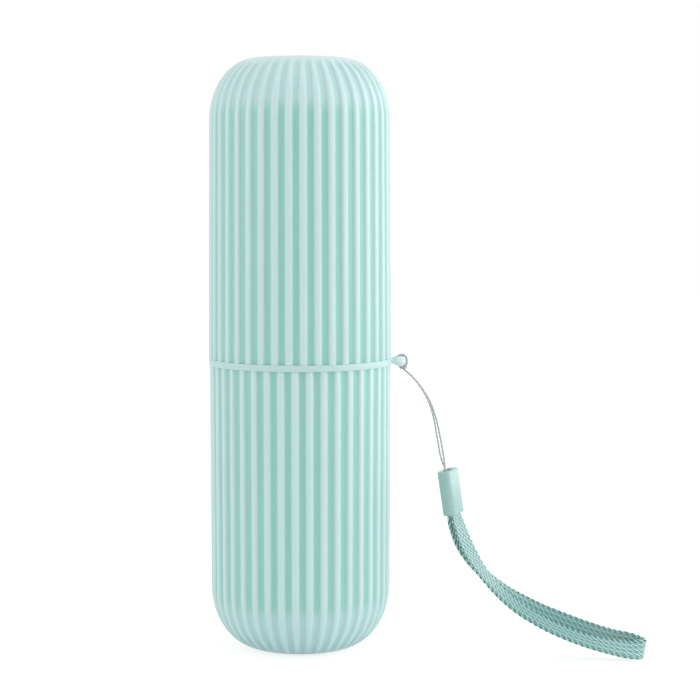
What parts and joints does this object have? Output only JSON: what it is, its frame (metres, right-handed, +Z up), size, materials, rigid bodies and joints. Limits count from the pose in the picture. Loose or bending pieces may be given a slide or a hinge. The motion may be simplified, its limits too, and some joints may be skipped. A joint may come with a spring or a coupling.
{
  "type": "travel toothbrush case",
  "caption": "Fluted round travel toothbrush case: a case with a push-on rinse cup as its lid, a strap ring at the seam and a braided wrist strap.",
  "frame": {"origin": "middle of the flat foot, on the surface that the case stands on", "axes": "+Z up along the case's axis, +X towards the eyelet that carries the wrist strap"},
  "size_m": [0.1508, 0.0636, 0.205],
  "materials": {
    "mint_plastic": "satin moulded plastic, mint green",
    "ring_plastic": "satin moulded plastic, pale mint",
    "grey_thread": "twisted thin grey cord",
    "ferrule_plastic": "satin moulded plastic, mint green",
    "teal_braid": "flat braided tape, teal green"
  },
  "bodies": {
    "case": {"brush_case": "mint_plastic"},
    "cup": {"rinse_cup": "mint_plastic"},
    "ring": {"strap_ring": "ring_plastic", "thread_loop": "grey_thread", "thread_knot": "grey_thread", "ferrule": "ferrule_plastic", "wrist_strap": "teal_braid"}
  },
  "joints": [
    {"name": "cup_lift", "type": "slide", "parent": "case", "child": "cup", "axis": [0, 0, 1], "range_m": [0, 0.11]},
    {"name": "ring_swivel", "type": "hinge", "parent": "case", "child": "ring", "pos_m": [0, 0, 0.1003], "axis": [0, 0, 1], "continuous": true}
  ]
}
